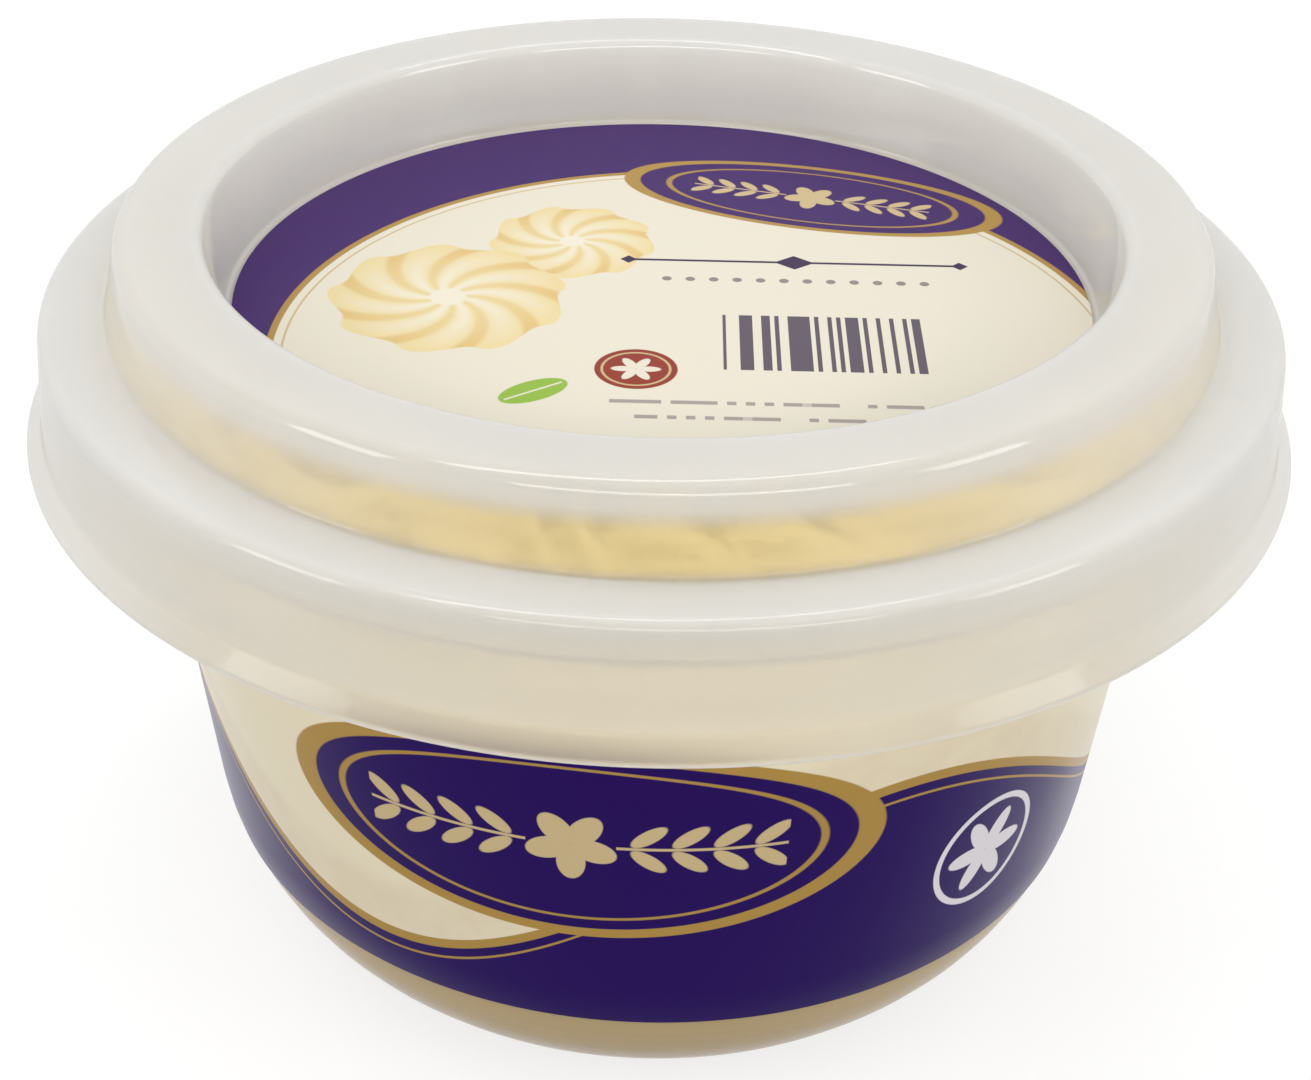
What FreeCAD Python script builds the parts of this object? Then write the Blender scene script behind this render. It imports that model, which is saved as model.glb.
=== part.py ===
"""A round one-litre ice cream cup: a thin tub with a wide brim, its frozen filling, a press-on lid with a
deep stacking recess, and the two thin labels that are moulded into lid and tub.

Millimetres. +Z is up, the origin is the centre of the plane that the foot ring stands on, and +Z is the
axis of every turned piece. Every outline is drawn in the half plane (r, z) and turned about that axis.
"""

import FreeCAD
import Part

import math
import os

# ---- tub ----
TUB_HEIGHT = 90.8           # standing plane to the top of the brim
MOUTH_RADIUS = 67.3         # outside of the wall where it meets the brim
TUB_WALL = 0.9
WALL_DRAFT = 6.5            # degrees from upright
HEEL_RADIUS = 33.5          # large round between the wall and the bottom
HEEL_TURN = 50.0            # degrees from upright at which the large round hands over to the small one
FOOT_ROUND = 19.0           # small round that runs out on the foot ring
FOOT_WIDTH = 4.0            # flat part of the foot ring
BASE_LIFT = 1.5             # how far the bottom panel stands above the foot ring
BRIM_WIDTH = 8.6            # from the wall to the outside of the brim
BRIM_DROP = 4.0             # depth of the brim's turned-down edge
BRIM_ROUND = 1.4
GATE_RADIUS = 1.6           # moulding gate's stub under the bottom panel
GATE_HEIGHT = 0.5

# ---- lid ----
LID_WALL = 0.9
SKIRT_HEIGHT = 16.2         # shoulder top to the lip's lower edge
SKIRT_CLEARANCE = 0.6       # skirt to the outside of the brim
SKIRT_DRAFT = 4.4           # degrees, the skirt opens downwards
SKIRT_ROUND = 1.6
LIP_FLARE = 1.9             # how far the lip stands out past the skirt
LIP_HEIGHT = 3.2            # height of the flared band
LIP_EDGE = 1.4              # thickness of the rounded edge that ends the lip
SNAP_GRIP = 0.35            # how far the snap bead reaches in under the brim
SNAP_CLEARANCE = 0.15       # snap bead to the brim's lower edge
SNAP_CREST = 0.5            # narrow flat along the snap bead
SNAP_ROUND = 0.3
SHOULDER_SETBACK = 1.3      # inside of the riser's foot to the outside of the tub's mouth
RISER_HEIGHT = 10.3         # shoulder top to the rim top
RISER_DRAFT = 12.0          # degrees
RISER_FOOT_ROUND = 0.9
RIM_WIDTH = 10.3            # flat ring on top, between the two rounded edges' corners
RIM_OUTER_ROUND = 2.2
RIM_INNER_ROUND = 1.5
RECESS_DEPTH = 11.95        # rim top to the recess floor
RECESS_DRAFT = 9.5          # degrees
RECESS_FLOOR_ROUND = 0.8

# ---- labels ----
LABEL_THICKNESS = 0.25
LID_LABEL_MARGIN = 0.25     # bare floor left round the lid's label
TUB_LABEL_BOTTOM = 20.9     # height of the wrap label's lower edge
TUB_LABEL_TOP_MARGIN = 6.0  # bare wall between the wrap label and the brim

# ---- ice cream ----
FILL_CLEARANCE = 0.15       # ice cream to the plastic round it
FOOT_EASE = 0.2             # raised ring's foot to the inside of the riser's foot
RING_RISE = 3.4             # smooth part of the raised ring, above the brim
RING_ROUND = 0.8
LUMP_COUNT = 15             # rounded lumps along the raised ring
LUMP_RADIUS = 4.6           # across the ring, middle size
LUMP_LENGTH = 16.5          # along the ring, half of it, middle size
LUMP_SPREAD = 0.5           # most that a lump is larger or smaller
LUMP_SINK = 1.1             # lump's middle below the smooth part of the ring
LUMP_DRIFT = 0.12           # share of its sector that a lump may lie off the even spacing
LUMP_SWING = (0.2, -0.7, 0.9, -0.1, 0.6, -1.0, 0.4)

AXIS = FreeCAD.Vector(0, 0, 1)
ORIGIN = FreeCAD.Vector(0, 0, 0)
SHORTEST_EDGE = 1e-4


def tangent(degrees):
    """Sideways run for each millimetre of rise of a wall drafted by so many degrees."""
    return math.tan(math.radians(degrees))


def unit(start, end):
    """Unit direction from one outline point to another."""
    length = math.hypot(end[0] - start[0], end[1] - start[1])
    return (end[0] - start[0]) / length, (end[1] - start[1]) / length


def turn_at(before, corner, after):
    """Signed angle by which an outline turns at a corner, anticlockwise positive."""
    first, second = unit(before, corner), unit(corner, after)
    cross = first[0] * second[1] - first[1] * second[0]
    dot = first[0] * second[0] + first[1] * second[1]
    return math.atan2(cross, dot)


def offset(points, gap):
    """The open outline moved to its left by gap, its corners kept sharp."""
    moved = []
    for i, point in enumerate(points):
        before = points[max(i - 1, 0)]
        after = points[min(i + 1, len(points) - 1)]
        first = unit(before, point) if i else unit(point, after)
        second = unit(point, after) if i < len(points) - 1 else first
        left = (-first[1] - second[1], first[0] + second[0])
        scale = gap / (1 + first[0] * second[0] + first[1] * second[1])
        moved.append((point[0] + left[0] * scale, point[1] + left[1] * scale))
    return moved


def offset_rounds(points, rounds, gap):
    """Corner radii that keep the wall even when the outline is moved to its left by gap."""
    grown = list(rounds)
    for i in range(1, len(points) - 1):
        if rounds[i]:
            side = 1 if turn_at(points[i - 1], points[i], points[i + 1]) > 0 else -1
            grown[i] = max(rounds[i] - side * gap, 0.0)
    return grown


def touch(start, centre, radius, side):
    """Where a line from start touches a circle: side is 1 on the left of the way to its centre, -1 on the right."""
    reach = math.dist(start, centre)
    along = math.sqrt(reach ** 2 - radius ** 2)
    bearing = math.atan2(centre[1] - start[1], centre[0] - start[0]) + side * math.asin(radius / reach)
    return start[0] + along * math.cos(bearing), start[1] + along * math.sin(bearing)


def vector(point):
    return FreeCAD.Vector(point[0], 0, point[1])


def edges_along(points, rounds):
    """Straight edges and tangent arcs along an open outline with rounded corners."""
    edges = []
    start = points[0]
    for i in range(1, len(points)):
        corner = points[i]
        radius = rounds[i] if i < len(points) - 1 else 0.0
        if radius:
            coming, going = unit(points[i - 1], corner), unit(corner, points[i + 1])
            turn = turn_at(points[i - 1], corner, points[i + 1])
            back = radius * math.tan(abs(turn) / 2)
            arc_start = (corner[0] - coming[0] * back, corner[1] - coming[1] * back)
            arc_end = (corner[0] + going[0] * back, corner[1] + going[1] * back)
            inward = (going[0] - coming[0], going[1] - coming[1])
            size = math.hypot(*inward)
            reach = radius / math.cos(turn / 2) - radius
            middle = (corner[0] + inward[0] / size * reach, corner[1] + inward[1] / size * reach)
        else:
            arc_start = corner
        if math.dist(start, arc_start) > SHORTEST_EDGE:
            edges.append(Part.LineSegment(vector(start), vector(arc_start)).toShape())
        start = arc_start
        if radius:
            edges.append(Part.Arc(vector(arc_start), vector(middle), vector(arc_end)).toShape())
            start = arc_end
    return edges


def closed(points, rounds=None):
    """Edges of a closed outline, the last point joined back to the first."""
    loop = list(points) + [points[0]]
    return edges_along(loop, list(rounds) + [0.0] if rounds else [0.0] * len(loop))


def profile(edges):
    """Flat face inside a closed outline."""
    return Part.Face(Part.Wire(Part.__sortEdges__(edges)))


def turned(face):
    """Solid of revolution of a flat face about the axis."""
    return face.revolve(ORIGIN, AXIS, 360)


def box_profile(inside, outside, bottom, top):
    """Flat upright rectangle in the outline's plane."""
    return profile(closed([(inside, bottom), (outside, bottom), (outside, top), (inside, top)]))


# ---- heights and radii that several pieces share ----
BRIM_RADIUS = MOUTH_RADIUS + BRIM_WIDTH
SHOULDER_TOP = TUB_HEIGHT + LID_WALL
RIM_TOP = SHOULDER_TOP + RISER_HEIGHT
LIP_BOTTOM = SHOULDER_TOP - SKIRT_HEIGHT
RECESS_FLOOR = RIM_TOP - RECESS_DEPTH


def tub_outside():
    """Outline of the tub's outside from the axis to the brim's underside, and its corner radii."""
    draft, hand_over = math.radians(WALL_DRAFT), math.radians(HEEL_TURN)
    heel_run = HEEL_RADIUS * math.tan((hand_over - draft) / 2)
    foot_run = FOOT_ROUND * math.tan((math.pi / 2 - hand_over) / 2)
    heel_height = (heel_run + foot_run) * math.cos(hand_over)
    wall_top = TUB_HEIGHT - TUB_WALL
    heel = (tub_wall_radius(heel_height), heel_height)
    foot = (heel[0] - (heel_run + foot_run) * math.sin(hand_over), 0.0)
    ring_inside = foot[0] - foot_run - FOOT_WIDTH
    points = [
        (0.0, BASE_LIFT),
        (ring_inside - BASE_LIFT, BASE_LIFT),
        (ring_inside, 0.0),
        foot,
        heel,
        (MOUTH_RADIUS, wall_top),
    ]
    return points, [0.0, 0.0, 0.0, FOOT_ROUND, HEEL_RADIUS, 0.0]


def tub_wall_radius(height, gap=0.0):
    """Outside radius of the straight part of the wall, less gap measured square to the wall."""
    outside = MOUTH_RADIUS - (TUB_HEIGHT - TUB_WALL - height) * tangent(WALL_DRAFT)
    return outside - gap / math.cos(math.radians(WALL_DRAFT))


def make_tub():
    """Thin shell, with a brim that turns out over the wall and down at its edge."""
    outside, rounds = tub_outside()
    inside = offset(outside, TUB_WALL)
    inside_rounds = offset_rounds(outside, rounds, TUB_WALL)
    inside[-1] = (tub_wall_radius(TUB_HEIGHT, TUB_WALL), TUB_HEIGHT)
    gate = [
        (0.0, BASE_LIFT - GATE_HEIGHT),
        (GATE_RADIUS, BASE_LIFT - GATE_HEIGHT),
        (GATE_RADIUS, BASE_LIFT),
    ]
    brim = [
        (BRIM_RADIUS - TUB_WALL, TUB_HEIGHT - TUB_WALL),
        (BRIM_RADIUS - TUB_WALL, TUB_HEIGHT - BRIM_DROP),
        (BRIM_RADIUS, TUB_HEIGHT - BRIM_DROP),
        (BRIM_RADIUS, TUB_HEIGHT),
    ]
    brim_rounds = [BRIM_ROUND - TUB_WALL, 0.0, 0.0, BRIM_ROUND]
    points = gate + outside[1:] + brim + inside[::-1]
    return turned(profile(closed(points, [0.0] * 3 + rounds[1:] + brim_rounds + inside_rounds[::-1])))


def lid_outside():
    """Outline of the lid's upper side from the axis to the lip, and its corner radii."""
    riser_foot = MOUTH_RADIUS + SHOULDER_SETBACK + LID_WALL
    rim_outside = riser_foot - RISER_HEIGHT * tangent(RISER_DRAFT)
    rim_inside = rim_outside - RIM_WIDTH
    floor_edge = rim_inside - RECESS_DEPTH * tangent(RECESS_DRAFT)
    shoulder_edge = BRIM_RADIUS + SKIRT_CLEARANCE + LID_WALL
    lip_root_height = LIP_BOTTOM + LIP_HEIGHT
    lip_root = shoulder_edge + (SHOULDER_TOP - lip_root_height) * tangent(SKIRT_DRAFT)
    points = [
        (0.0, RECESS_FLOOR),
        (floor_edge, RECESS_FLOOR),
        (rim_inside, RIM_TOP),
        (rim_outside, RIM_TOP),
        (riser_foot, SHOULDER_TOP),
        (shoulder_edge, SHOULDER_TOP),
        (lip_root, lip_root_height),
        touch((lip_root, lip_root_height), lip_centre(lip_root), LIP_EDGE / 2, 1),
    ]
    rounds = [
        0.0,
        RECESS_FLOOR_ROUND,
        RIM_INNER_ROUND,
        RIM_OUTER_ROUND,
        RISER_FOOT_ROUND,
        SKIRT_ROUND,
        LIP_HEIGHT / 2,
        0.0,
    ]
    return points, rounds


def lip_centre(lip_root):
    """Centre of the rounded edge that ends the lip."""
    return lip_root + LIP_FLARE - LIP_EDGE / 2, LIP_BOTTOM + LIP_EDGE / 2


def snap_bead(inside):
    """Points of the snap bead on the inside of the skirt: a short upper slope that grips under the brim's
    edge, a narrow crest, and a long lower slope that leads the brim in. Its corner radii come second."""
    corner, root = inside[5], inside[6]
    slope = (root[0] - corner[0]) / (corner[1] - root[1])
    crest = BRIM_RADIUS - SNAP_GRIP
    top = TUB_HEIGHT - BRIM_DROP - SNAP_CLEARANCE + SNAP_GRIP
    depth = corner[0] + (corner[1] - top) * slope - crest
    heights = [top, top - depth, top - depth - SNAP_CREST, top - depth - SNAP_CREST - 2 * depth]
    on_wall = [corner[0] + (corner[1] - height) * slope for height in heights]
    points = [
        (on_wall[0], heights[0]),
        (crest, heights[1]),
        (crest, heights[2]),
        (on_wall[3], heights[3]),
    ]
    return points, [SNAP_ROUND, SNAP_ROUND, SNAP_ROUND, SNAP_ROUND]


def make_lid():
    """One even wall from the recess to the lip, with a snap bead under the brim and a thick rounded lip."""
    outside, rounds = lid_outside()
    inside = offset(outside, -LID_WALL)
    inside_rounds = offset_rounds(outside, rounds, -LID_WALL)
    bead, bead_rounds = snap_bead(inside)
    centre = lip_centre(outside[-2][0])
    inside[-1] = touch(inside[-2], centre, LIP_EDGE / 2, -1)
    skin = inside[:6] + bead + inside[6:]
    skin_rounds = inside_rounds[:6] + bead_rounds + inside_rounds[6:]
    outward = unit(outside[-2], centre)
    tip = (centre[0] + outward[0] * LIP_EDGE / 2, centre[1] + outward[1] * LIP_EDGE / 2)
    edges = edges_along(outside, rounds) + edges_along(skin, skin_rounds)
    edges.append(Part.Arc(vector(outside[-1]), vector(tip), vector(inside[-1])).toShape())
    edges.append(Part.LineSegment(vector(inside[0]), vector(outside[0])).toShape())
    return turned(profile(edges))


def make_lid_label():
    """Printed disc on the floor of the recess."""
    outside, rounds = lid_outside()
    turn = abs(turn_at(outside[0], outside[1], outside[2]))
    flat = outside[1][0] - rounds[1] * math.tan(turn / 2)
    return turned(box_profile(0.0, flat - LID_LABEL_MARGIN, RECESS_FLOOR, RECESS_FLOOR + LABEL_THICKNESS))


def make_tub_label():
    """Printed wrap label: a thin band on the tub's wall, down into the start of its rounded bottom."""
    back, rounds = tub_outside()
    front = offset(back, -LABEL_THICKNESS)
    front_rounds = offset_rounds(back, rounds, -LABEL_THICKNESS)
    film = profile(
        edges_along(back, rounds)
        + edges_along(front, front_rounds)
        + edges_along([back[0], front[0]], [0.0, 0.0])
        + edges_along([back[-1], front[-1]], [0.0, 0.0])
    )
    top = TUB_HEIGHT - TUB_WALL - TUB_LABEL_TOP_MARGIN
    foot_corner = back[3][0]
    band = box_profile(foot_corner, BRIM_RADIUS, TUB_LABEL_BOTTOM, top)
    return turned(film.common(band).Faces[0])


def make_ice_cream():
    """Filling that takes the tub's inside, with an uneven raised ring that stands up in the lid's channel."""
    tub, tub_rounds = tub_outside()
    inward = TUB_WALL + FILL_CLEARANCE
    below = offset(tub, inward)
    below_rounds = offset_rounds(tub, tub_rounds, inward)
    sill = TUB_HEIGHT + FILL_CLEARANCE
    below[-1] = (tub_wall_radius(sill, inward), sill)
    lid, lid_rounds = lid_outside()
    above = offset(lid, -LID_WALL - FILL_CLEARANCE)
    above_rounds = offset_rounds(lid, lid_rounds, -LID_WALL - FILL_CLEARANCE)
    ring_top = TUB_HEIGHT + RING_RISE
    riser_inside = above[4][0] - (ring_top - above[4][1]) * tangent(RISER_DRAFT)
    ring_foot = above[4][0] - FOOT_EASE
    recess_outside = above[1][0] + (ring_top - above[1][1]) * tangent(RECESS_DRAFT)
    over = [
        (ring_foot, sill),
        (riser_inside, ring_top),
        (recess_outside, ring_top),
        above[1],
        (0.0, above[1][1]),
    ]
    over_rounds = [0.0, RING_ROUND, RING_ROUND, above_rounds[1], 0.0]
    filling = turned(profile(closed(below + over, below_rounds + over_rounds)))
    return filling.multiFuse(lumps((riser_inside + recess_outside) / 2, ring_top)).Solids[0]


def lumps(radius, height):
    """Long half-round lumps of uneven size along the raised ring, each one turned about its own tangent."""
    made = []
    sector = 360.0 / LUMP_COUNT
    for i in range(LUMP_COUNT):
        swing = LUMP_SWING[i % len(LUMP_SWING)]
        across = LUMP_RADIUS + LUMP_SPREAD * swing
        along = LUMP_LENGTH - LUMP_SPREAD * swing
        centre = FreeCAD.Vector(radius, 0, height - LUMP_SINK)
        tangent_line = FreeCAD.Vector(0, 1, 0)
        half = Part.Ellipse(centre + tangent_line * along, centre + FreeCAD.Vector(across, 0, 0), centre)
        bow = Part.Arc(half, 0.0, math.pi).toShape()
        ends = [vertex.Point for vertex in bow.Vertexes]
        chord = Part.LineSegment(ends[1], ends[0]).toShape()
        side = Part.Face(Part.Wire([bow, chord]))
        lump = side.revolve(centre, tangent_line, -180)
        lump.rotate(ORIGIN, AXIS, (i + LUMP_DRIFT * swing) * sector)
        made.append(lump)
    return made


PIECES = {
    "tub": make_tub,
    "tub_label": make_tub_label,
    "ice_cream": make_ice_cream,
    "lid": make_lid,
    "lid_label": make_lid_label,
}


def main():
    os.makedirs("parts", exist_ok=True)
    for name, make in PIECES.items():
        shape = make()
        shape.exportStep("parts/" + name + ".step")
        box = shape.BoundBox
        print(name, shape.ShapeType, "solids", len(shape.Solids), "valid", shape.isValid(),
              "volume", round(shape.Volume), "r", round(box.XMax, 2), "z", round(box.ZMin, 2), round(box.ZMax, 2))


main()
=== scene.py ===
"""Looks of a round one-litre tub of vanilla ice cream with a cloudy press-on lid and two moulded-in labels.

Lengths of the outlines are in millimetres and become metres in the meshes. +Z is up and -Y is the front.
"""

import math

import bpy
from mathutils import Matrix, Vector


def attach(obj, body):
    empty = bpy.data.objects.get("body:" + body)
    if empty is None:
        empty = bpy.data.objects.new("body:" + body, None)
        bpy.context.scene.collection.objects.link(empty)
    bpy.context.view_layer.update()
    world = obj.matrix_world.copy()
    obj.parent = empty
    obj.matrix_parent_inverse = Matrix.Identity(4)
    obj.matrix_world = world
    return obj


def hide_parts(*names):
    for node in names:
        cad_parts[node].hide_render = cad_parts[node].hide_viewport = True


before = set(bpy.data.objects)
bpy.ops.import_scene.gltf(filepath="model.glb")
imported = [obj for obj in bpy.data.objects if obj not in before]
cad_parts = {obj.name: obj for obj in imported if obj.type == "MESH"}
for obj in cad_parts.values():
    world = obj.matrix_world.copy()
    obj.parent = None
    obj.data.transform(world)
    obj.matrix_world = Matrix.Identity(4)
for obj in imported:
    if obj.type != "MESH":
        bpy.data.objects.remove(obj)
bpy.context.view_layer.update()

MM = 0.001

# ---- tub ----
TUB_HEIGHT = 90.8
MOUTH_RADIUS = 67.3
TUB_WALL = 0.9
WALL_DRAFT = math.radians(6.5)
HEEL_RADIUS = 33.5
HEEL_TURN = math.radians(50.0)
FOOT_ROUND = 19.0
FOOT_WIDTH = 4.0
BASE_LIFT = 1.5
BRIM_RADIUS = MOUTH_RADIUS + 8.6
BRIM_DROP = 4.0
BRIM_ROUND = 1.4
GATE_RADIUS = 1.6
GATE_HEIGHT = 0.5

# ---- lid ----
LID_WALL = 0.9
SHOULDER_TOP = TUB_HEIGHT + LID_WALL
RIM_TOP = SHOULDER_TOP + 10.3
RISER_DRAFT = math.radians(12.0)
RIM_WIDTH = 10.3
RECESS_FLOOR = RIM_TOP - 11.95
RECESS_DRAFT = math.radians(9.5)
RISER_FOOT = MOUTH_RADIUS + 1.3 + LID_WALL
SHOULDER_EDGE = BRIM_RADIUS + 0.6 + LID_WALL
SKIRT_DRAFT = math.radians(4.4)
LIP_BOTTOM = SHOULDER_TOP - 16.2
LIP_HEIGHT = 3.2
LIP_FLARE = 1.9
LIP_EDGE = 1.4
SNAP_GRIP = 0.35
SNAP_TOP = TUB_HEIGHT - BRIM_DROP + 0.2
SNAP_CREST = 0.5

# ---- labels ----
LABEL_THICKNESS = 0.25
LABEL_SEAT = 0.05           # how far a label's back is set into its plastic
LID_LABEL_RADIUS = 54.08
WRAP_BOTTOM = 20.9
WRAP_TOP = 83.9

# ---- ice cream ----
FILL_SEAT = 0.1             # how far the ice cream reaches into the plastic round it
RING_TOP = 98.1
FILL_STEP = 1.6             # longest step along the ice cream's section
FILL_STEPS_ROUND = 480
RING_MIDDLE = 62.6          # radius of the raised ring's middle line

LUMPS_ROUND = 13.0
LUMP_DEPTH = 0.40           # share of the ring's size that is folded away between two lumps
LUMP_LEAN = 6.0             # turns for each metre of height
LUMP_UNEVENNESS = 0.9
LUMP_SEED = 14.0
LUMP_RISE = 1.7             # how steeply a lump comes up on one side
LUMP_FALL = 6.0             # and how steeply it drops on the other
ROUGHNESS_DEPTH = 0.15      # share of small unevenness on a lump

# ---- cloudy plastic: share of what is behind it that shows, and where ----
LID_CLEAR = 0.48
RISER_ADDS = 0.48
SKIRT_ADDS = 0.36
LOW_SKIRT_ADDS = 0.05
RECESS_ADDS = -0.2
TUB_CLEAR = 0.72
CLEAR_RISER_HEIGHT = 94.8
CLEAR_RISER_RADIUS = 66.0
SKIRT_BELOW = 90.5
LOW_SKIRT_BELOW = 82.0
RECESS_WITHIN = 58.4
BRIM_COLOUR_ABOVE = 84.5

# ---- meshes ----
STEPS_ROUND = 288
LIP_STEPS = 14
BEND = math.radians(6.0)    # most that an outline's arc turns between two of its points
CREASE = math.radians(38.0)
WHEEL_RADIUS = 0.05         # circle in metres that a section is swept round; it drops out of the sizes
WELD = 1e-6

# ---- prints and lamps ----
FILM_SHINE = 0.02
BADGE_TILT = math.radians(-14)
WRAP_UNROLLED = 62.0        # millimetres round the wall for one radian
LAMP_AIM = (0, 0, 0.05)
SHOWN_STRENGTH = 1.0        # of the white background as the camera sees it
LIGHT_STRENGTH = 0.70       # of the light that the white background throws


# ---------------------------------------------------------------- outlines


def rounded(points, rounds):
    """Points along an open outline, each corner with a radius turned into a run of short steps."""
    made = [Vector(points[0])]
    for before, corner, after, radius in zip(points, points[1:], points[2:], rounds[1:]):
        corner = Vector(corner)
        coming = (corner - Vector(before)).normalized()
        going = (Vector(after) - corner).normalized()
        turn = coming.angle_signed(going)
        if radius <= 0 or abs(turn) < 1e-4:
            made.append(corner)
            continue
        start = corner - coming * radius * math.tan(abs(turn) / 2)
        side = -1 if turn > 0 else 1
        centre = start + Vector((-coming.y, coming.x)) * radius * side
        steps = max(2, math.ceil(abs(turn) / BEND))
        for k in range(steps + 1):
            made.append(centre + Matrix.Rotation(-turn * k / steps, 2) @ (start - centre))
    return made + [Vector(points[-1])]


def moved(points, gap):
    """The outline moved to its left by gap, its corners kept sharp."""
    made = []
    for i, point in enumerate(points):
        point = Vector(point)
        before, after = (points[i - 1], point) if i else (point, points[1])
        first = (Vector(after) - Vector(before)).normalized()
        second = (Vector(points[i + 1]) - point).normalized() if i < len(points) - 1 else first
        left = Vector((-first.y - second.y, first.x + second.x))
        made.append(point + left * gap / (1 + first.dot(second)))
    return made


def moved_rounds(points, rounds, gap):
    """Corner radii that keep a wall even when its outline is moved to its left by gap."""
    made = list(rounds)
    for i in range(1, len(points) - 1):
        coming = Vector(points[i]) - Vector(points[i - 1])
        going = Vector(points[i + 1]) - Vector(points[i])
        if rounds[i]:
            side = 1 if coming.angle_signed(going) > 0 else -1
            made[i] = max(rounds[i] + side * gap, 0.0)
    return made


def wall_radius(height):
    """Outside radius of the tub's straight wall."""
    return MOUTH_RADIUS - (TUB_HEIGHT - TUB_WALL - height) * math.tan(WALL_DRAFT)


def tub_outline():
    """Outside of the tub from its middle to the underside of its brim, and the corner radii."""
    heel_run = HEEL_RADIUS * math.tan((HEEL_TURN - WALL_DRAFT) / 2)
    foot_run = FOOT_ROUND * math.tan((math.pi / 2 - HEEL_TURN) / 2)
    heel_height = (heel_run + foot_run) * math.cos(HEEL_TURN)
    foot = wall_radius(heel_height) - (heel_run + foot_run) * math.sin(HEEL_TURN)
    ring_inside = foot - foot_run - FOOT_WIDTH
    points = [(0, BASE_LIFT), (ring_inside - BASE_LIFT, BASE_LIFT), (ring_inside, 0), (foot, 0),
              (wall_radius(heel_height), heel_height), (MOUTH_RADIUS, TUB_HEIGHT - TUB_WALL)]
    return points, [0, 0.4, 0.4, FOOT_ROUND, HEEL_RADIUS, 0]


def lid_outline():
    """Upper side of the lid from its middle to the root of its lip, and the corner radii."""
    rim_outside = RISER_FOOT - (RIM_TOP - SHOULDER_TOP) * math.tan(RISER_DRAFT)
    rim_inside = rim_outside - RIM_WIDTH
    floor_edge = rim_inside - (RIM_TOP - RECESS_FLOOR) * math.tan(RECESS_DRAFT)
    root_height = LIP_BOTTOM + LIP_HEIGHT
    root = SHOULDER_EDGE + (SHOULDER_TOP - root_height) * math.tan(SKIRT_DRAFT)
    tip = (root + LIP_FLARE - LIP_EDGE / 2, LIP_BOTTOM + LIP_EDGE / 2)
    points = [(0, RECESS_FLOOR), (floor_edge, RECESS_FLOOR), (rim_inside, RIM_TOP), (rim_outside, RIM_TOP),
              (RISER_FOOT, SHOULDER_TOP), (SHOULDER_EDGE, SHOULDER_TOP), (root, root_height), tip]
    return points, [0, 0.8, 1.5, 2.2, 0.9, 1.6, LIP_HEIGHT / 2, 0]


def touching(start, centre, radius, side):
    """Where a line from start touches the circle, on the side of the way to its centre that side gives."""
    way = centre - start
    bearing = math.atan2(way.y, way.x) + side * math.asin(radius / way.length)
    along = math.sqrt(way.length ** 2 - radius ** 2)
    return start + Vector((math.cos(bearing), math.sin(bearing))) * along


def lid_section():
    """Closed section of the lid: its upper side, the rounded lip, and the inside with its snap bead."""
    outside, rounds = lid_outline()
    centre = Vector(outside[-1])
    inside = moved(outside, -LID_WALL)
    inside_rounds = moved_rounds(outside, rounds, -LID_WALL)
    corner, root = inside[5], inside[6]
    slope = (root.x - corner.x) / (corner.y - root.y)
    crest = BRIM_RADIUS - SNAP_GRIP
    depth = corner.x + (corner.y - SNAP_TOP) * slope - crest
    low = SNAP_TOP - 3 * depth - SNAP_CREST
    bead = [(corner.x + (corner.y - SNAP_TOP) * slope, SNAP_TOP), (crest, SNAP_TOP - depth),
            (crest, SNAP_TOP - depth - SNAP_CREST), (corner.x + (corner.y - low) * slope, low)]
    outside[-1] = touching(Vector(outside[-2]), centre, LIP_EDGE / 2, 1)
    inside[-1] = touching(root, centre, LIP_EDGE / 2, -1)
    skin = rounded(inside[:6] + [Vector(p) for p in bead] + inside[6:],
                   inside_rounds[:6] + [0.3] * 4 + inside_rounds[6:])
    start = outside[-1] - centre
    end = inside[-1] - centre
    sweep = (math.atan2(end.y, end.x) - math.atan2(start.y, start.x)) % math.tau - math.tau
    tip = [centre + Matrix.Rotation(sweep * k / LIP_STEPS, 2) @ start for k in range(1, LIP_STEPS)]
    return rounded(outside, rounds) + tip + skin[::-1]


def tub_section():
    """Closed section of the tub: its outside, the turned-out brim, and the inside."""
    outside, rounds = tub_outline()
    inside = moved(outside, TUB_WALL)
    inside_rounds = moved_rounds(outside, rounds, TUB_WALL)
    inside[-1] = Vector((wall_radius(TUB_HEIGHT) - TUB_WALL / math.cos(WALL_DRAFT), TUB_HEIGHT))
    gate = [(0, BASE_LIFT - GATE_HEIGHT), (GATE_RADIUS, BASE_LIFT - GATE_HEIGHT), (GATE_RADIUS, BASE_LIFT)]
    brim_inside = BRIM_RADIUS - TUB_WALL
    brim = [(brim_inside, TUB_HEIGHT - TUB_WALL), (brim_inside, TUB_HEIGHT - BRIM_DROP),
            (BRIM_RADIUS, TUB_HEIGHT - BRIM_DROP), (BRIM_RADIUS, TUB_HEIGHT)]
    points = gate + outside[1:] + brim + inside[::-1]
    corner_radii = ([0, 0.2, 0] + rounds[1:-1] + [0.3, BRIM_ROUND - TUB_WALL, 0.2, 0.2, BRIM_ROUND, 0.3]
                    + inside_rounds[-2::-1])
    return rounded(points, corner_radii)


def film_section(line, thickness):
    """Closed section of a thin film that lies on a line."""
    return moved(line, LABEL_SEAT) + moved(line, -thickness)[::-1]


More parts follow.
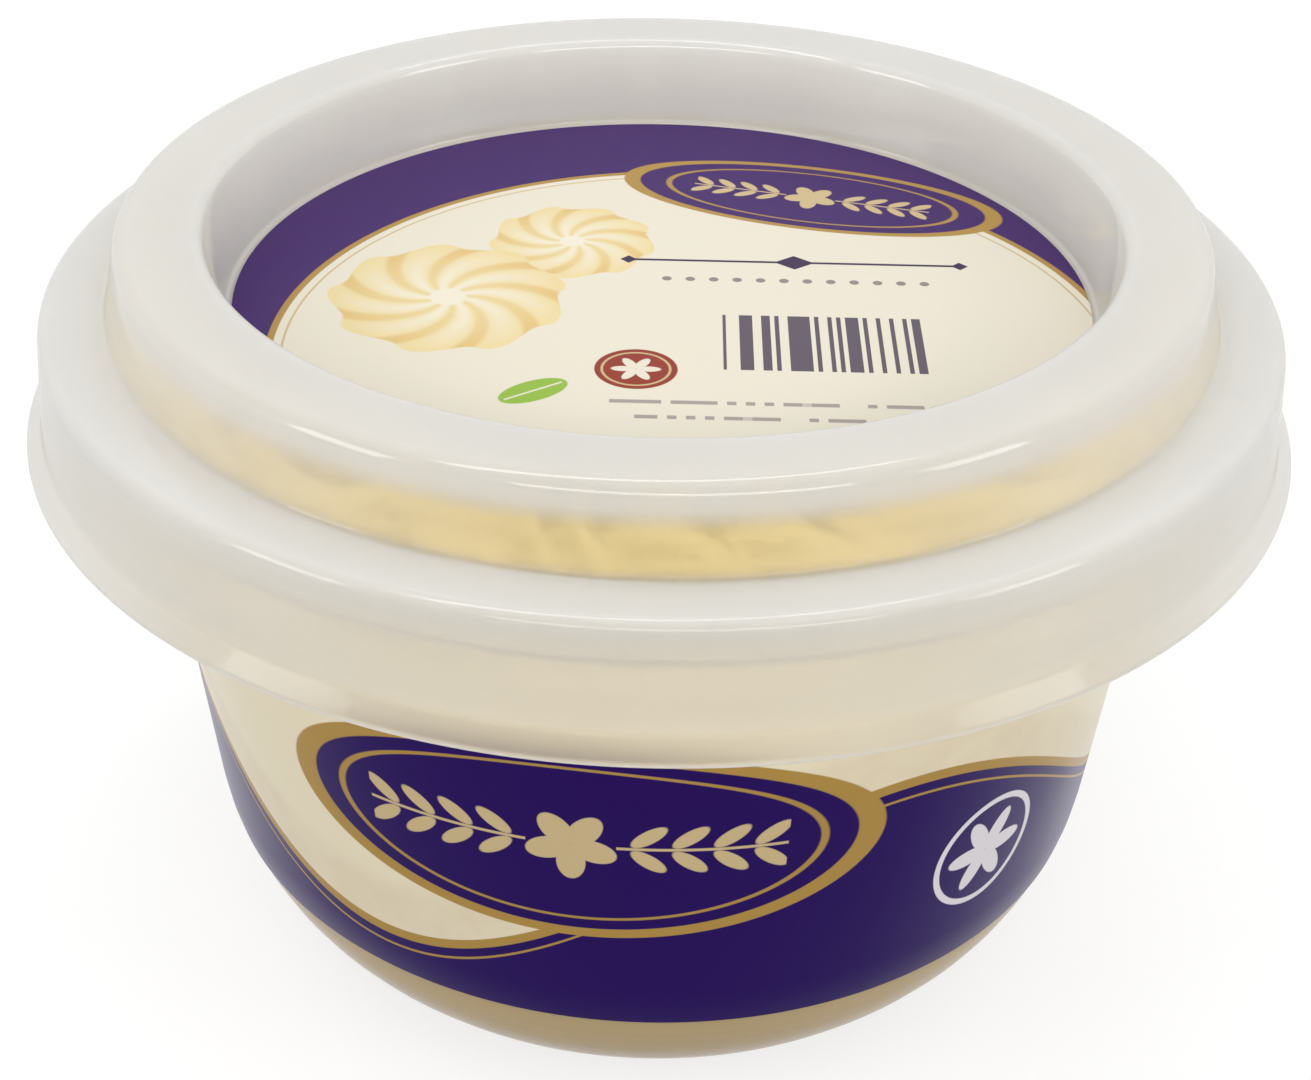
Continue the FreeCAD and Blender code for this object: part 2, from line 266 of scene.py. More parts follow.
def wrap_section():
    """Closed section of the wrap label: the part of the tub's outside between the label's two edges."""
    points, rounds = tub_outline()
    line = rounded(points, rounds)
    cut = []
    for low, high in zip(line, line[1:]):
        for height in (WRAP_BOTTOM, WRAP_TOP):
            if low.y < height <= high.y:
                cut.append(low.lerp(high, (height - low.y) / (high.y - low.y)))
        if WRAP_BOTTOM < high.y < WRAP_TOP:
            cut.append(high)
    return film_section(cut, LABEL_THICKNESS)


def fill_section():
    """Closed section of the ice cream: the tub's inside and a raised ring in the lid's channel."""
    tub, tub_rounds = tub_outline()
    lid, _ = lid_outline()
    below, above = moved(tub, TUB_WALL - FILL_SEAT), moved(lid, FILL_SEAT - LID_WALL)
    below_rounds = moved_rounds(tub, tub_rounds, TUB_WALL - FILL_SEAT)
    below[-1] = Vector((wall_radius(TUB_HEIGHT) - TUB_WALL, TUB_HEIGHT))
    inner, foot = above[1], above[4]
    ring = [(foot.x - 0.4, TUB_HEIGHT), (foot.x - (RING_TOP - foot.y) * math.tan(RISER_DRAFT), RING_TOP),
            (inner.x + (RING_TOP - inner.y) * math.tan(RECESS_DRAFT), RING_TOP), tuple(inner), (0, inner.y)]
    line = rounded([tuple(p) for p in below] + ring, below_rounds + [0, 3.2, 3.2, 0.5, 0])
    fine = []
    for start, end in zip(line, line[1:]):
        parts = math.ceil((end - start).length / FILL_STEP)
        fine += [start.lerp(end, k / parts) for k in range(parts)]
    return fine + [line[-1]]


# ---------------------------------------------------------------- geometry nodes


def input_of(node, key):
    """A node's input by its name, with _ for a space, or by its number as i0, i1 and so on."""
    return node.inputs[int(key[1:]) if key[0] == "i" and key[1:].isdigit() else key.replace("_", " ")]


class Workshop:
    """A geometry node tree under construction."""

    def __init__(self, name, sizes):
        self.tree = bpy.data.node_groups.new(name, "GeometryNodeTree")
        face = self.tree.interface
        face.new_socket("Geometry", in_out="INPUT", socket_type="NodeSocketGeometry")
        face.new_socket("Geometry", in_out="OUTPUT", socket_type="NodeSocketGeometry")
        for label, kind in sizes:
            face.new_socket(label, in_out="INPUT", socket_type="NodeSocket" + kind)
        self.given = self.tree.nodes.new("NodeGroupInput").outputs

    def node(self, kind, settings=None, **links):
        """Adds a node, sets its properties and fills its inputs."""
        made = self.tree.nodes.new(kind)
        for key, value in (settings or {}).items():
            setattr(made, key, value)
        for key, value in links.items():
            slot = input_of(made, key)
            if isinstance(value, bpy.types.NodeSocket):
                self.tree.links.new(value, slot)
            else:
                slot.default_value = value
        return made.outputs

    def math(self, operation, *values):
        return self.node("ShaderNodeMath", {"operation": operation},
                         **{"i%d" % i: v for i, v in enumerate(values)})[0]

    def close(self, geometry, finish):
        """Ends the tree: instances made real, faces given their finish."""
        real = self.node("GeometryNodeRealizeInstances", Geometry=geometry)[0]
        dressed = self.node("GeometryNodeSetMaterial", Geometry=real, Material=finish)[0]
        end = self.tree.nodes.new("NodeGroupOutput")
        self.tree.links.new(dressed, end.inputs[0])


def made_by(tree, name, start, **sizes):
    """Plain mesh object that a tree makes from a starting mesh and named sizes."""
    piece = bpy.data.objects.new(name, start)
    bpy.context.scene.collection.objects.link(piece)
    maker = piece.modifiers.new("make", "NODES")
    maker.node_group = tree
    labels = {item.name: item.identifier for item in tree.interface.items_tree if item.in_out == "INPUT"}
    for label, value in sizes.items():
        maker[labels[label.replace("_", " ")]] = value
    seen = piece.evaluated_get(bpy.context.evaluated_depsgraph_get())
    mesh = bpy.data.meshes.new_from_object(seen)
    mesh.name = name
    piece.modifiers.clear()
    piece.data = mesh
    return piece


def turning_tree():
    """Turns a closed outline about the upright axis, and keeps its sharp edges sharp."""
    shop = Workshop("turn about the axis", [("Wheel radius", "Float"), ("Steps round", "Int"),
                                            ("Crease", "Float"), ("Finish", "Material")])
    given = shop.given
    outline = shop.node("GeometryNodeMeshToCurve", Mesh=given["Geometry"])[0]
    wheel = shop.node("GeometryNodeCurvePrimitiveCircle", Resolution=given["Steps round"],
                      Radius=given["Wheel radius"])[0]
    shell = shop.node("GeometryNodeCurveToMesh", Curve=wheel, Profile_Curve=outline)[0]
    shell = shop.node("GeometryNodeMergeByDistance", Geometry=shell, Distance=WELD)[0]
    shell = shop.node("GeometryNodeSetShadeSmooth", {"domain": "FACE"}, Geometry=shell)[0]
    bend = shop.node("GeometryNodeInputMeshEdgeAngle")["Unsigned Angle"]
    sharp = shop.node("FunctionNodeCompare", {"operation": "GREATER_THAN"}, i0=bend, i1=given["Crease"])[0]
    shell = shop.node("GeometryNodeSetShadeSmooth", {"domain": "EDGE"}, Geometry=shell, Selection=sharp,
                      Shade_Smooth=False)[0]
    shop.close(shell, given["Finish"])
    return shop.tree


def folding_tree():
    """Turns the ice cream's section about the axis, and folds its ring into leaning, uneven lumps."""
    shop = Workshop("fold the ice cream", [("Wheel radius", "Float"), ("Steps round", "Int"),
                                           ("Lumps", "Float"), ("Depth", "Float"), ("Lean", "Float"),
                                           ("Unevenness", "Float"), ("Ring middle", "Float"),
                                           ("Sill", "Float"), ("Seed", "Float"), ("Finish", "Material")])
    given, maths = shop.given, shop.math
    outline = shop.node("GeometryNodeMeshToCurve", Mesh=given["Geometry"])[0]
    wheel = shop.node("GeometryNodeCurvePrimitiveCircle", Resolution=given["Steps round"],
                      Radius=given["Wheel radius"])[0]
    body = shop.node("GeometryNodeCurveToMesh", Curve=wheel, Profile_Curve=outline)[0]
    body = shop.node("GeometryNodeMergeByDistance", Geometry=body, Distance=WELD)[0]
    place = shop.node("ShaderNodeSeparateXYZ", i0=shop.node("GeometryNodeInputPosition")[0])
    x, y, z = place
    radius = maths("SQRT", maths("ADD", maths("MULTIPLY", x, x), maths("MULTIPLY", y, y)))
    radius = maths("MAXIMUM", radius, 1e-6)
    above = maths("MAXIMUM", maths("SUBTRACT", z, given["Sill"]), 0.0)
    bearing = maths("ARCTAN2", y, x)
    ring_place = shop.node("ShaderNodeCombineXYZ", X=maths("DIVIDE", x, radius),
                           Y=maths("DIVIDE", y, radius), Z=given["Seed"])[0]
    drift = shop.node("ShaderNodeTexNoise", Vector=ring_place, Scale=1.7, Detail=1.0)[0]
    drift = maths("MULTIPLY", maths("SUBTRACT", drift, 0.5), given["Unevenness"])
    turns = maths("ADD", maths("DIVIDE", bearing, math.tau), maths("MULTIPLY", above, given["Lean"]))
    count = maths("MULTIPLY", maths("ADD", turns, drift), given["Lumps"])
    share = maths("FRACT", count)
    rise = maths("SUBTRACT", 1.0, maths("POWER", maths("SUBTRACT", 1.0, share), LUMP_RISE))
    fall = maths("SUBTRACT", 1.0, maths("POWER", share, LUMP_FALL))
    crown = maths("MULTIPLY", rise, fall)
    soft = shop.node("ShaderNodeTexNoise", Scale=70.0, Detail=3.0)[0]
    crown = maths("ADD", crown, maths("MULTIPLY", maths("SUBTRACT", soft, 0.5), ROUGHNESS_DEPTH))
    hollow = maths("MULTIPLY", maths("SUBTRACT", 1.0, maths("MINIMUM", crown, 1.0)), given["Depth"])
    keep = maths("SUBTRACT", 1.0, hollow)
    out = maths("MULTIPLY", maths("SUBTRACT", radius, given["Ring middle"]), keep)
    new_radius = maths("DIVIDE", maths("ADD", given["Ring middle"], out), radius)
    new_z = maths("ADD", given["Sill"], maths("MULTIPLY", above, keep))
    folded = shop.node("ShaderNodeCombineXYZ", X=maths("MULTIPLY", x, new_radius),
                       Y=maths("MULTIPLY", y, new_radius), Z=new_z)[0]
    on_ring = shop.node("FunctionNodeCompare", {"operation": "GREATER_THAN"}, i0=above, i1=1e-5)[0]
    body = shop.node("GeometryNodeSetPosition", Geometry=body, Selection=on_ring, Position=folded)[0]
    body = shop.node("GeometryNodeSetShadeSmooth", {"domain": "FACE"}, Geometry=body)[0]
    shop.close(body, given["Finish"])
    return shop.tree


def section_mesh(name, section):
    """Section as loose edges, clockwise so that turned faces look outward, and with none along the axis."""
    points = [Vector(p) for p in section]
    pairs = list(zip(points, points[1:] + points[:1]))
    if sum(a.x * b.y - a.y * b.x for a, b in pairs) > 0:
        points.reverse()
    count = len(points)
    edges = [(i, (i + 1) % count) for i in range(count) if points[i].x + points[(i + 1) % count].x > 0]
    mesh = bpy.data.meshes.new(name + " section")
    mesh.from_pydata([(p.x * MM - WHEEL_RADIUS, -p.y * MM, 0) for p in points], edges, [])
    return mesh


def turned(name, section, finish):
    """Piece turned about the axis from a closed section in millimetres."""
    return made_by(TURNING, name, section_mesh(name, section), Wheel_radius=WHEEL_RADIUS,
                   Steps_round=STEPS_ROUND, Crease=CREASE, Finish=finish)


# ---------------------------------------------------------------- drawing with shader nodes


class Number:
    """A number at each point of a surface, built up from math nodes."""

    def __init__(self, tree, socket):
        self.tree, self.socket = tree, socket

    def do(self, operation, *others, clamp=False):
        made = self.tree.nodes.new("ShaderNodeMath")
        made.operation, made.use_clamp = operation, clamp
        for slot, value in zip(made.inputs, (self, *others)):
            if isinstance(value, Number):
                self.tree.links.new(value.socket, slot)
            else:
                slot.default_value = value
        return Number(self.tree, made.outputs[0])

    def __add__(self, other):
        return self.do("ADD", other)

    def __sub__(self, other):
        return self.do("SUBTRACT", other)

    def __mul__(self, other):
        return self.do("MULTIPLY", other)

    def __truediv__(self, other):
        return self.do("DIVIDE", other)

    def __neg__(self):
        return self * -1

    def __abs__(self):
        return self.do("ABSOLUTE")

    def least(self, other):
        return self.do("MINIMUM", other)

    def most(self, other):
        return self.do("MAXIMUM", other)

    def sine(self):
        return self.do("SINE")

    def cosine(self):
        return self.do("COSINE")

    def with_(self, other):
        """Length of the two numbers taken as sides of a right angle."""
        return (self * self + other * other).do("SQRT")

    def cover(self, soft=0.12):
        """One where the number is over zero, none where it is under, with an edge as wide as soft."""
        return self.do("MULTIPLY_ADD", 1 / soft, 0.5, clamp=True)


class Finish:
    """A material under construction."""

    def __init__(self, name):
        self.material = bpy.data.materials.new(name)
        self.material.use_nodes = True
        self.tree = self.material.node_tree
        self.shader = self.tree.nodes["Principled BSDF"]
        self.output = self.tree.nodes["Material Output"]
        self.place = self.node("ShaderNodeTexCoord")["Object"]

    def node(self, kind, settings=None, **links):
        made = self.tree.nodes.new(kind)
        for key, value in (settings or {}).items():
            setattr(made, key, value)
        for key, value in links.items():
            self.fill(input_of(made, key), value)
        return made.outputs

    def fill(self, slot, value):
        if isinstance(value, Number):
            value = value.socket
        if isinstance(value, bpy.types.NodeSocket):
            self.tree.links.new(value, slot)
        elif slot.type == "RGBA" and len(value) == 3:
            slot.default_value = (*value, 1)
        else:
            slot.default_value = value

    def set(self, **values):
        for key, value in values.items():
            self.fill(self.shader.inputs[key.replace("_", " ")], value)

    def axes(self):
        """The point's three coordinates in millimetres."""
        split = self.node("ShaderNodeSeparateXYZ", i0=self.place)
        return [Number(self.tree, split[i]) * 1000 for i in range(3)]

    def noise(self, scale, detail=2.0, rough=0.5):
        """Cloudy number about 0.5, with so many clouds to the metre."""
        made = self.node("ShaderNodeTexNoise", Vector=self.place, Scale=scale, Detail=detail,
                         Roughness=rough)
        return Number(self.tree, made["Fac"])

    def chance(self, step):
        """A number between 0 and 1 that jumps about from one whole step to the next."""
        made = self.node("ShaderNodeTexWhiteNoise", {"noise_dimensions": "1D"}, W=step)
        return Number(self.tree, made["Value"])

    def blend(self, share, first, second):
        made = self.node("ShaderNodeMix", {"data_type": "RGBA"}, i0=share, i6=first, i7=second)
        return made[2]

    def bump(self, height, depth, strength):
        """Relief: height 0 to 1 stands for depth metres."""
        self.fill(self.shader.inputs["Normal"],
                  self.node("ShaderNodeBump", Strength=strength, Distance=depth, Height=height)[0])


class Print(Finish):
    """A printed film: simple shapes laid over one another on a plain field."""

    def __init__(self, name, field):
        super().__init__(name)
        self.ink = field

    def lay(self, share, colour, strength=1.0):
        if strength != 1.0:
            share = share * strength
        self.ink = self.blend(share, self.ink, colour)


def oval(x, y, rx, ry):
    """Depth inside an oval about the middle, in about millimetres."""
    return ((x / rx).with_(y / ry) - 1) * -min(rx, ry)


def slab(x, y, half_x, half_y):
    """Depth inside a plain box about the middle."""
    return (-(abs(x) - half_x)).least(-(abs(y) - half_y))


def spun(x, y, turn):
    """The two coordinates as they read on axes turned by an angle."""
    c, s = math.cos(turn), math.sin(turn)
    return x * c + y * s, y * c - x * s


def petals(x, y, count, reach, width, turn=0.0):
    """Depth inside a ring of oval petals that meet in the middle."""
    sector = math.tau / count
    bearing = y.do("ARCTAN2", x)
    off = (bearing + (turn + sector / 2 + math.tau)).do("FLOORED_MODULO", sector) - sector / 2
    away = x.with_(y)
    return oval(away * off.cosine() - reach / 2, away * off.sine(), reach / 2, width / 2)


CREAM = (0.80, 0.75, 0.62)
WRAP_CREAM = (0.87, 0.78, 0.565)
VIOLET = (0.022, 0.006, 0.105)
LID_VIOLET = (0.055, 0.018, 0.135)
GOLD = (0.44, 0.27, 0.07)
PALE_GOLD = (0.62, 0.48, 0.26)
SCOOP_LIGHT = (0.86, 0.80, 0.65)
SCOOP_YELLOW = (0.82, 0.68, 0.36)
RIDGE_BROWN = (0.70, 0.44, 0.12)
DARK = (0.05, 0.03, 0.08)
GREY = (0.30, 0.25, 0.24)
RED_BROWN = (0.30, 0.05, 0.03)
GREEN = (0.30, 0.50, 0.07)
WARM = (0.66, 0.52, 0.36)
PALE = (0.80, 0.76, 0.80)
MILKY = (0.93, 0.93, 0.925)
# Lower tub plastic: a darker warm tan, partly the ice cream's colour seen through the wall and partly
# painted shade on the tub's lower body; the brim keeps the plain milky colour.
TUB_TAN_WITH_PAINTED_SHADE = (0.72, 0.55, 0.30)
TUB_BRIM = (0.90, 0.89, 0.85)


def sprig(film, x, y, size, colour):
    """A blossom between two rows of leaves on a stem."""
    blossom = petals(x, y, 5, 4.2 * size, 2.6 * size, turn=math.pi / 2)
    along = abs(x)
    stem = slab(along - 11.5 * size, y, 7.5 * size, 0.16 * size)
    pitch = 3.6 * size
    step = (along - 5.0 * size).do("FLOORED_MODULO", pitch) - pitch / 2
    leaf_x, leaf_y = spun(step, abs(y) - 1.5 * size, math.radians(38))
    leaves = oval(leaf_x, leaf_y, 1.9 * size, 0.75 * size)
    row = slab(along - 12.0 * size, y, 7.0 * size, 4.0 * size)
    film.lay(blossom.most(stem).most(leaves.least(row)).cover(), colour)


def rosette(film, x, y, radius, turn):
    """A swirl of soft ice cream seen from above, with curved ridges."""
    away = x.with_(y)
    bearing = y.do("ARCTAN2", x)
    wave = bearing * 9 + away * (9.0 / radius) + turn
    ridge = wave.sine()
    edge = (away - radius) * -1 + ridge * (radius * 0.05)
    inside = edge.cover(0.3)
    depth = (away / radius).do("POWER", 2.0)
    film.lay(inside, SCOOP_YELLOW)
    film.lay(inside * (ridge * 0.5 + 0.5) * (-depth + 1.0), SCOOP_LIGHT)
    film.lay(inside * (-ridge - 0.55).cover(0.6) * (depth * 0.8 + 0.1), RIDGE_BROWN, 0.75)
    film.lay(oval(x, y, radius * 0.16, radius * 0.16).cover(0.4), SCOOP_LIGHT)


def film_gloss(film):
    """The satin skin of a moulded-in film, glossier where it is seen at a slant, with a faint waviness."""
    slant = Number(film.tree, film.node("ShaderNodeLayerWeight", Blend=0.5)["Facing"])
    film.set(Base_Color=film.ink, Specular_IOR_Level=slant.do("POWER", 5.0) + FILM_SHINE,
             Roughness=film.noise(60.0, 0.0) * 0.12 + 0.26)
    film.bump(film.noise(90.0, 0.0), 0.00006, 0.5)


def lid_print():
    """Lid label: cream field, violet crescent, swirls, badge, divider, bars and small marks."""
    film = Print("lid label print", CREAM)
    x, y, _ = film.axes()
    film.lay(film.noise(40.0, 4.0) * 0.25, (0.82, 0.77, 0.65))
    # violet crescent, thickest behind on the left, with a gold edge and a fine gold line beside it
    inner = (x - 4.5).with_(y + 15.0) - 52.0
    film.lay(inner.cover(), LID_VIOLET)
    film.lay((-(abs(inner - 0.1)) + 0.45).cover(), GOLD)
    film.lay((-(abs(inner + 1.5)) + 0.14).cover(), PALE_GOLD)
    # swirls
    rosette(film, x + 12.0, y - 14.0, 10.5, 0.4)
    rosette(film, x + 27.0, y + 3.0, 14.5, 2.0)
    # badge with a sprig
    bx, by = spun(x - 20.0, y - 29.5, BADGE_TILT)
    badge = oval(bx, by, 23.0, 9.0)
    film.lay((badge + 1.3).cover(), GOLD)
    film.lay((badge + 0.4).cover(), LID_VIOLET)
    film.lay((-(abs(badge - 1.2)) + 0.16).cover(), GOLD)
    sprig(film, bx, by, 0.86, PALE_GOLD)
    # divider and a row of dots
    film.lay(slab(x - 17.0, y - 9.0, 21.0, 0.28).cover(), DARK)
    film.lay((-(abs(x - 17.0)) - abs(y - 9.0) * 1.3 + 2.6).cover(), DARK)
    film.lay((-(abs(abs(x - 17.0) - 21.5)) - abs(y - 9.0) + 1.1).cover(), DARK)
    dot_x = (x + 1.0).do("FLOORED_MODULO", 3.0) - 1.5
    film.lay(oval(dot_x, y - 3.6, 0.62, 0.62).least(slab(x - 17.0, y - 3.6, 18.0, 2.0)).cover(), GREY)
    # bars
    stripe = ((x + 200.0) / 0.55).do("FLOOR")
    code = film.chance(stripe)
    block = slab(x - 20.0, y + 13.5, 12.5, 7.2).cover()
    film.lay(block * (code - 0.5).cover(0.02), DARK, 0.9)
    # small round marks
    red = oval(x + 3.0, y + 21.0, 5.0, 5.0)
    film.lay(red.cover(), RED_BROWN)
    film.lay((-(abs(red - 0.9)) + 0.16).cover(), PALE_GOLD)
    film.lay(petals(x + 3.0, y + 21.0, 6, 3.0, 1.3).cover(), CREAM)
    gx, gy = spun(x + 15.0, y + 27.0, math.radians(35))
    green = oval(gx, gy, 4.6, 2.3)
    film.lay(green.cover(), GREEN)
    film.lay(slab(gx, gy, 4.0, 0.16).cover(), CREAM)
    # fine broken rules
    for row, (start, end) in enumerate(((-6.0, 33.0), (-3.0, 27.0))):
        place = y + (29.0 + 3.6 * row)
        gap = film.chance(((x + 100.0 + 7.0 * row) / 1.1).do("FLOOR"))
        rule = slab(x - (start + end) / 2, place, (end - start) / 2, 0.42).cover()
        film.lay(rule * (gap - 0.22).cover(0.02), GREY, 0.8)
    film_gloss(film)
    return film.material


def wrap_print():
    """Wrap label: cream above a violet wave with gold lines, an oval badge and a ring mark."""
    film = Print("wrap label print", WRAP_CREAM)
    x, y, z = film.axes()
    bearing = x.do("ARCTAN2", -y)
    along = bearing * WRAP_UNROLLED
    film.lay(film.noise(30.0, 4.0) * 0.25, (0.86, 0.79, 0.64))
    crest = (bearing * 3 + 0.12).sine() * 14.0 + 42.0
    over = z - crest
    film.lay((-(abs(over - 4.0)) + 4.5).cover(3.0) * film.noise(250.0, 4.0), WARM, 0.5)
    film.lay((-over).cover(), VIOLET)
    film.lay((-(abs(over - 0.2)) + 0.75).cover(), GOLD)
    film.lay((-(abs(over + 2.2)) + 0.2).cover(), GOLD)
    bx, by = along + 9.0, z - 51.0
    badge = oval(bx, by, 33.0, 13.5)
    film.lay((badge + 1.5).cover(), GOLD)
    film.lay((badge + 0.1).cover(), VIOLET)
    film.lay((-(abs(badge - 1.6)) + 0.2).cover(), GOLD)
    sprig(film, bx, by, 1.3, PALE_GOLD)
    ex, ey = along - 45.0, z - 38.5
    ring = ex.with_(ey)
    film.lay((-(abs(ring - 8.0)) + 0.45).cover(), PALE)
    film.lay(petals(ex, ey, 6, 6.2, 2.6).cover(), PALE)
    film_gloss(film)
    return film.material


# ---------------------------------------------------------------- plain finishes


def cloudy_plastic(name, colour, brim_colour, clear, through, blur, shine):
    """Milky moulded plastic. clear is the share of what is behind that shows, or a function that gives it
    from a point's radius and height in millimetres; through is the share of the light inside the wall that
    comes out on its far side; blur softens what is behind, the more the farther off it is, and at none it
    stays plain. Lamps shine straight through the clear share, and shadow rays read nothing else of the
    finish."""
    skin = Finish(name)
    x, y, z = skin.axes()
    cloud = skin.noise(60.0, 1.0)
    rings = Number(skin.tree, skin.node("ShaderNodeTexNoise", {"noise_dimensions": "1D"}, W=z * MM,
                                        Scale=900.0, Detail=2.0)["Fac"])
    # Below the brim height the first colour is used; on the tub that darker tan is partly painted shade.
    tint = skin.blend((z - BRIM_COLOUR_ABOVE).cover(2.0), colour, brim_colour)
    skin.set(Base_Color=skin.blend(cloud * 0.05 + rings * 0.06, tint, (0, 0, 0)), IOR=1.6,
             Specular_IOR_Level=shine, Roughness=cloud * 0.05 + 0.03)
    glow = skin.node("ShaderNodeBsdfTranslucent", Color=tint)[0]
    body = skin.node("ShaderNodeMixShader", i0=through, i1=skin.shader.outputs[0], i2=glow)[0]
    window = skin.node("ShaderNodeBsdfTransparent", Color=(1, 1, 1))[0]
    if blur:
        hazy = skin.node("ShaderNodeBsdfRefraction", Color=(0.90, 0.87, 0.81), Roughness=blur, IOR=1.3)[0]
        inner_face = skin.node("ShaderNodeNewGeometry")["Backfacing"]
        window = skin.node("ShaderNodeMixShader", i0=inner_face, i1=hazy, i2=window)[0]
    slant = Number(skin.tree, skin.node("ShaderNodeLayerWeight", Blend=0.5)["Facing"])
    share = clear(x.with_(y), z) if callable(clear) else clear
    shown = (-slant + 1.0).do("POWER", 1.1) * share
    whole = skin.node("ShaderNodeMixShader", i0=shown, i1=body, i2=window)[0]
    let_through = skin.node("ShaderNodeBsdfTransparent", Color=shown)[0]
    shadow = skin.node("ShaderNodeLightPath")["Is Shadow Ray"]
    whole = skin.node("ShaderNodeMixShader", i0=shadow, i1=whole, i2=let_through)[0]
    skin.tree.links.new(whole, skin.output.inputs["Surface"])
    return skin.material


def lid_clearness(radius, height):
    """The riser, close to the ice cream, and the skirt show most; the recess and its wall show least."""
    riser_height = (-(abs(height - CLEAR_RISER_HEIGHT)) + 3.3).cover(2.2)
    riser_width = (-(abs(radius - CLEAR_RISER_RADIUS)) + 5.6).cover(2.0)
    skirt = (-height + SKIRT_BELOW).cover(3.0)
    low_skirt = (-height + LOW_SKIRT_BELOW).cover(8.0)
    recess = (-radius + RECESS_WITHIN).cover(1.0)
    return (riser_height * riser_width * RISER_ADDS + skirt * SKIRT_ADDS + low_skirt * LOW_SKIRT_ADDS
            + recess * RECESS_ADDS + LID_CLEAR)


def ice_cream_finish():
    """Soft, matt vanilla yellow, slightly rough."""
    cream = Finish("ice cream")
    tone = cream.noise(45.0, 2.0)
    cream.set(Base_Color=cream.blend(tone, (0.60, 0.475, 0.18), (0.64, 0.525, 0.235)),
              Roughness=cream.noise(300.0, 0.0) * 0.2 + 0.5)
    cream.bump(cream.noise(420.0, 1.0, 0.65), 0.0004, 0.6)
    return cream.material


# ---------------------------------------------------------------- stage


def set_camera():
    eye = bpy.data.cameras.new("camera")
    eye.lens, eye.sensor_width = 67.666, 36.0
    eye.clip_start, eye.clip_end = 0.01, 20.0
    camera = bpy.data.objects.new("camera", eye)
    right = (0.99974, 0.01205, 0.01911)
    up = (-0.02259, 0.53325, 0.84566)
    back = (0.0, -0.84587, 0.53338)
    turn = Matrix((right, up, back)).transposed().to_4x4()
    camera.matrix_world = Matrix.Translation((-0.0002, -0.28138, 0.23033)) @ turn
    bpy.context.scene.collection.objects.link(camera)
    bpy.context.scene.camera = camera


def lamp(name, place, size, watts):
    """A rectangular lamp that looks at the middle of the tub."""
    light = bpy.data.lights.new(name, "AREA")
    light.shape, light.size, light.size_y = "RECTANGLE", size[0], size[1]
    light.energy = watts
    made = bpy.data.objects.new(name, light)
    made.location = place
    made.rotation_euler = (Vector(LAMP_AIM) - Vector(place)).to_track_quat("-Z", "Y").to_euler()
    bpy.context.scene.collection.objects.link(made)


def seen_directly(tree):
    """One for what the camera, a gloss or a clear wall shows, none for light that falls on things."""
    path = tree.nodes.new("ShaderNodeLightPath").outputs
    seen = Number(tree, path["Is Camera Ray"])
    for kind in ("Is Glossy Ray", "Is Transmission Ray"):
        seen = seen.most(Number(tree, path[kind]))
    return seen


def set_world():
    """Even white light all round."""
    world = bpy.data.worlds.new("studio")
    bpy.context.scene.world = world
    world.use_nodes = True
    shade = world.node_tree.nodes["Background"]
    shade.inputs["Color"].default_value = (1, 1, 1, 1)
    seen = seen_directly(world.node_tree)
    strength = seen * (SHOWN_STRENGTH - LIGHT_STRENGTH) + LIGHT_STRENGTH
    world.node_tree.links.new(strength.socket, shade.inputs["Strength"])


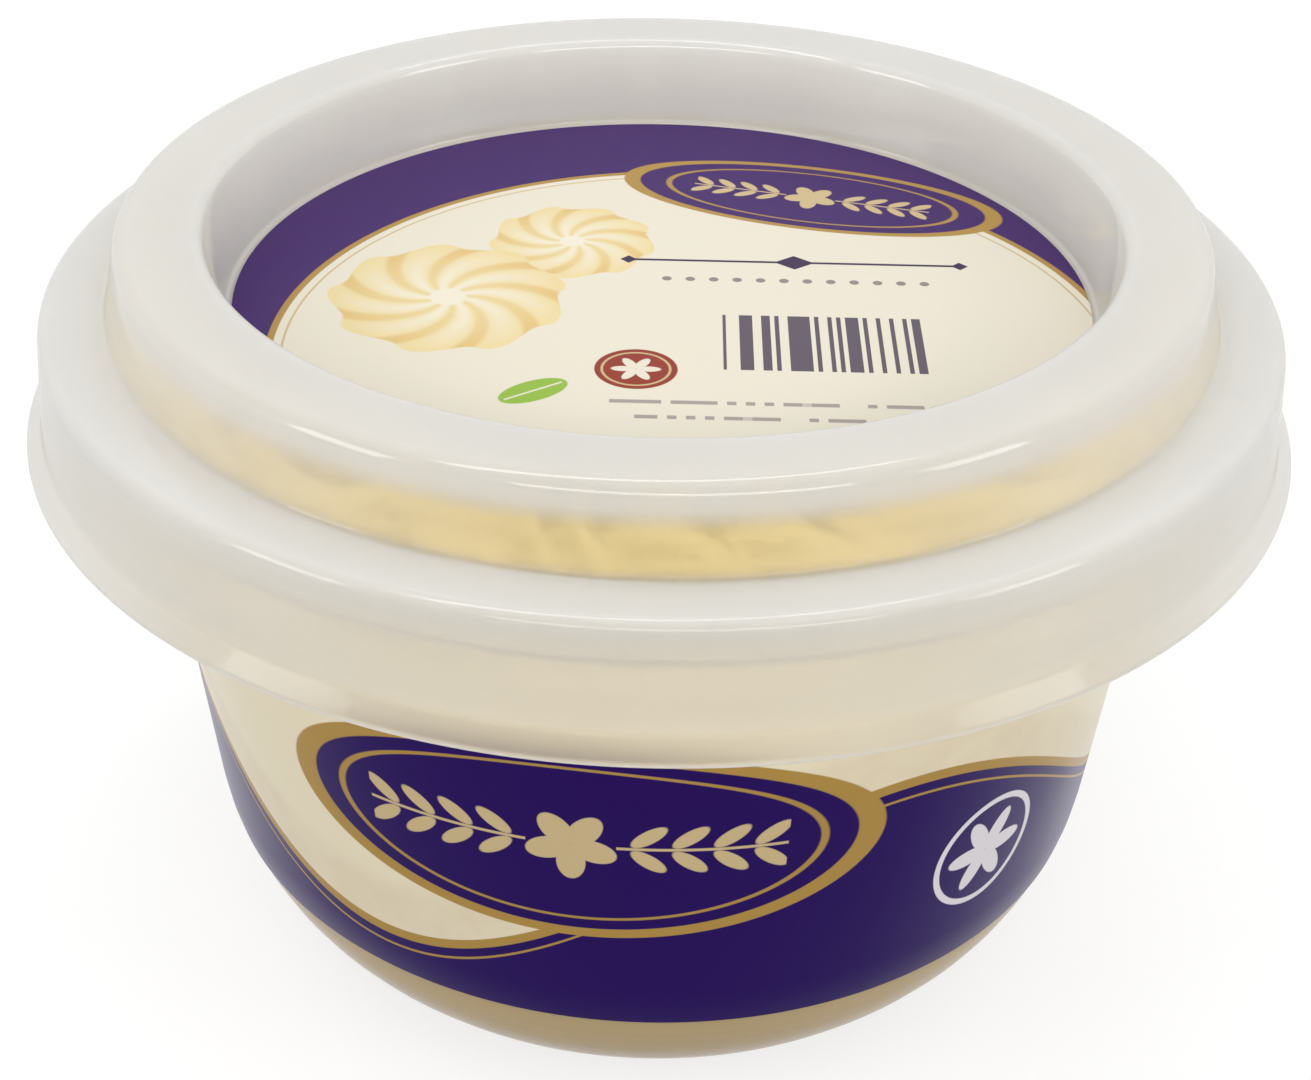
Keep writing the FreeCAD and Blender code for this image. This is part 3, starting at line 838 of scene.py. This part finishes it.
def set_floor():
    """A pale floor that shows white and keeps the shadow."""
    mesh = bpy.data.meshes.new("floor")
    half = 3.0
    corners = [(-half, -half, 0), (half, -half, 0), (half, half, 0), (-half, half, 0)]
    mesh.from_pydata(corners, [], [(0, 1, 2, 3)])
    floor = bpy.data.objects.new("floor", mesh)
    bpy.context.scene.collection.objects.link(floor)
    paint = Finish("floor")
    tone = paint.blend(paint.noise(3.0) * 0.02, (0.32, 0.32, 0.32), (0.30, 0.30, 0.30))
    matt = paint.node("ShaderNodeBsdfDiffuse", Color=tone)[0]
    shown = paint.node("ShaderNodeBsdfDiffuse", Color=(0.35, 0.35, 0.35))[0]
    lift = paint.node("ShaderNodeEmission", Color=(1, 1, 1), Strength=0.70)[0]
    shown = paint.node("ShaderNodeAddShader", i0=shown, i1=lift)[0]
    whole = paint.node("ShaderNodeMixShader", i0=seen_directly(paint.tree), i1=matt, i2=shown)[0]
    paint.tree.links.new(whole, paint.output.inputs["Surface"])
    mesh.materials.append(paint.material)


# ---------------------------------------------------------------- make everything

set_camera()
set_world()
set_floor()
lamp("overhead", (-0.1, 0.1, 1.05), (1.2, 0.12), 2.1)
lamp("front", (0.1, -1.25, 0.72), (1.6, 0.26), 6.6)
for side in (-1, 1):
    lamp("side", (side * 1.2, -0.6, 0.6), (0.5, 0.5), 2.9)

TURNING = turning_tree()
lid_skin = cloudy_plastic("lid plastic", MILKY, MILKY, lid_clearness, through=0.35, blur=0.75, shine=1.0)
tub_skin = cloudy_plastic("tub plastic", TUB_TAN_WITH_PAINTED_SHADE, TUB_BRIM, TUB_CLEAR, through=0.3, blur=0.0, shine=0.3)

lid = turned("lid_shell", lid_section(), lid_skin)
tub = turned("tub_shell", tub_section(), tub_skin)
wrap = turned("wrap_film", wrap_section(), wrap_print())
disc = turned("lid_film", [(0, RECESS_FLOOR - LABEL_SEAT), (LID_LABEL_RADIUS, RECESS_FLOOR - LABEL_SEAT),
                           (LID_LABEL_RADIUS, RECESS_FLOOR + LABEL_THICKNESS),
                           (0, RECESS_FLOOR + LABEL_THICKNESS)], lid_print())
fill = made_by(folding_tree(), "vanilla_fill", section_mesh("vanilla_fill", fill_section()),
               Wheel_radius=WHEEL_RADIUS, Steps_round=FILL_STEPS_ROUND, Lumps=LUMPS_ROUND, Depth=LUMP_DEPTH,
               Lean=LUMP_LEAN, Unevenness=LUMP_UNEVENNESS, Ring_middle=RING_MIDDLE * MM,
               Sill=TUB_HEIGHT * MM, Seed=LUMP_SEED, Finish=ice_cream_finish())

for piece, node, slot in ((lid, "lid", "lid_plastic"), (tub, "tub", "tub_plastic"),
                          (wrap, "tub_label", "tub_label_print"), (disc, "lid_label", "lid_label_print"),
                          (fill, "ice_cream", "ice_cream")):
    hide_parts(node)
    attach(piece, "root")

bpy.context.scene.view_settings.view_transform = "Standard"
bpy.context.view_layer.update()
